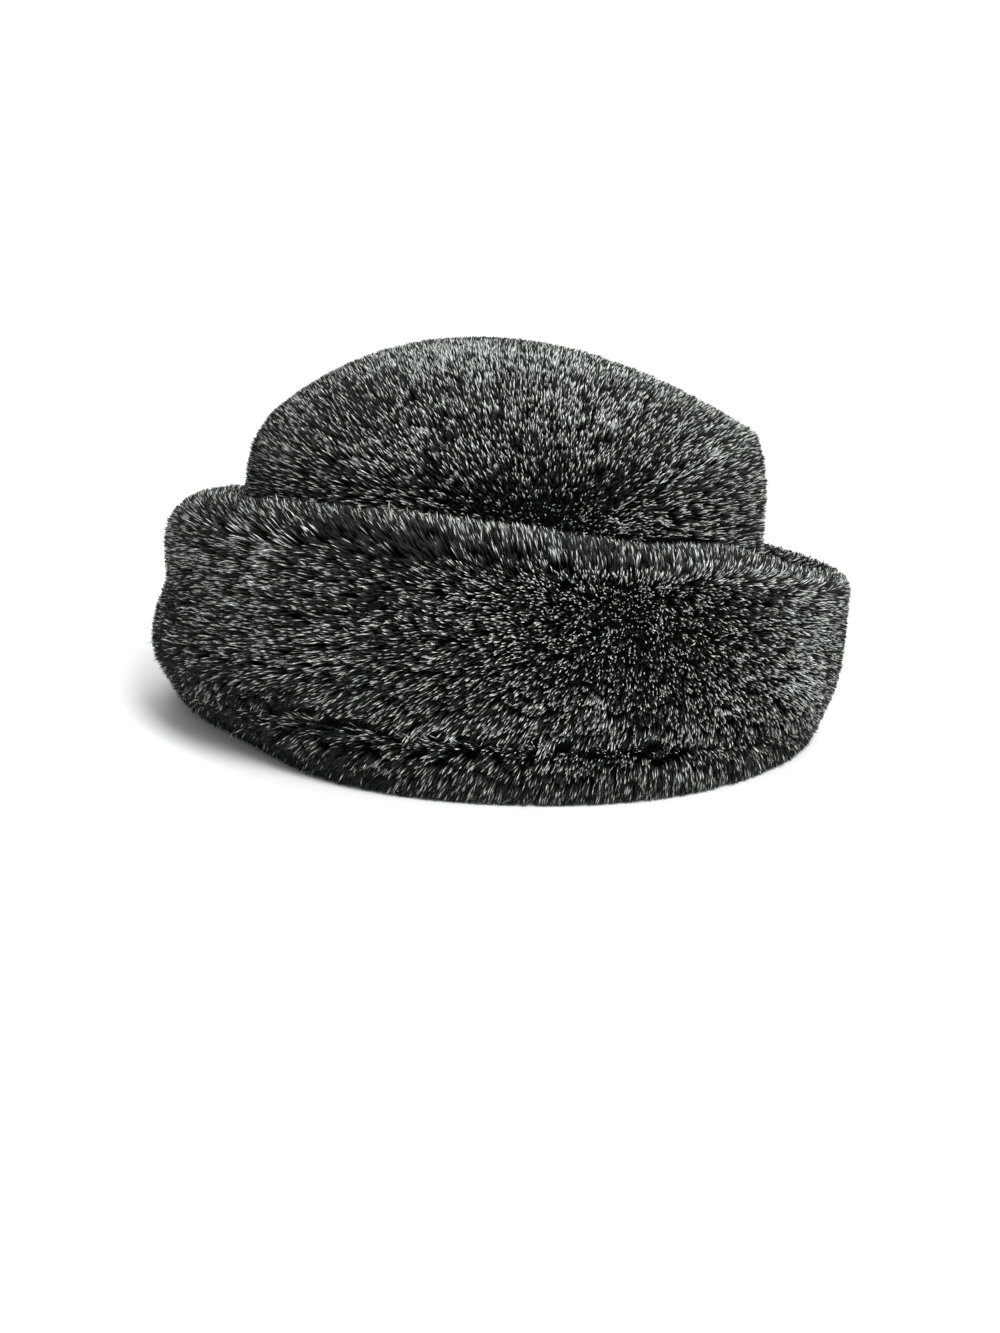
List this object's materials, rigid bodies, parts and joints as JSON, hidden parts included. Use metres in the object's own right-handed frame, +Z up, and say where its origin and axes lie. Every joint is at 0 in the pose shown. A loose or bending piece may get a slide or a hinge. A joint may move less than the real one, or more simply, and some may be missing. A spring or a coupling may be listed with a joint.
{
  "type": "faux fur bucket hat",
  "caption": "Soft bucket hat of long-pile imitation fur, with a low domed crown and a deep double brim that turns down all round",
  "frame": {"origin": "on the floor under the middle of the crown", "axes": "+Z up along the crown, the front towards -Y, the wearer's left-right along X, longer from front to back along Y"},
  "size_m": [0.3009, 0.3164, 0.1657],
  "materials": {
    "crown_fur": "long black pile with fine silver-white tips",
    "brim_fur": "long black pile with fine silver-white tips, on both cloths of the brim"
  },
  "bodies": {
    "root": {"crown_tip": "crown_fur", "crown_band": "crown_fur", "brim_upper": "brim_fur", "brim_lower": "brim_fur"}
  },
  "joints": []
}
